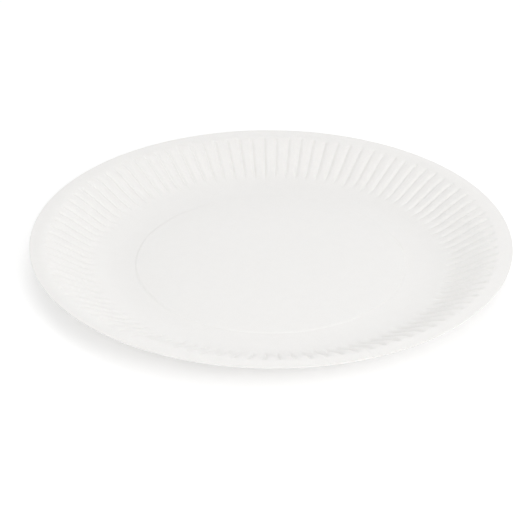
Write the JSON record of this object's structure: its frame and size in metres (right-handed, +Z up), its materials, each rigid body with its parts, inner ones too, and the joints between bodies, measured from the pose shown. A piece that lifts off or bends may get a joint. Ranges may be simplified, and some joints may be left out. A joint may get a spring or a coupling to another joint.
{
  "type": "paper plate",
  "caption": "Round shallow disposable plate of pressed paperboard, with a raised flat centre, radial flutes round its curved wall and a narrow smooth lip.",
  "frame": {"origin": "middle of the flat ring that the plate stands on, at its underside", "axes": "+Z up along the plate's axis, out of its open face; +X and +Y lie in the plane it stands on"},
  "size_m": [0.23, 0.23, 0.0153],
  "materials": {
    "board": "uncoated white paperboard, matt with a faint fibre mottle"
  },
  "bodies": {
    "root": {"plate": "board"}
  },
  "joints": []
}
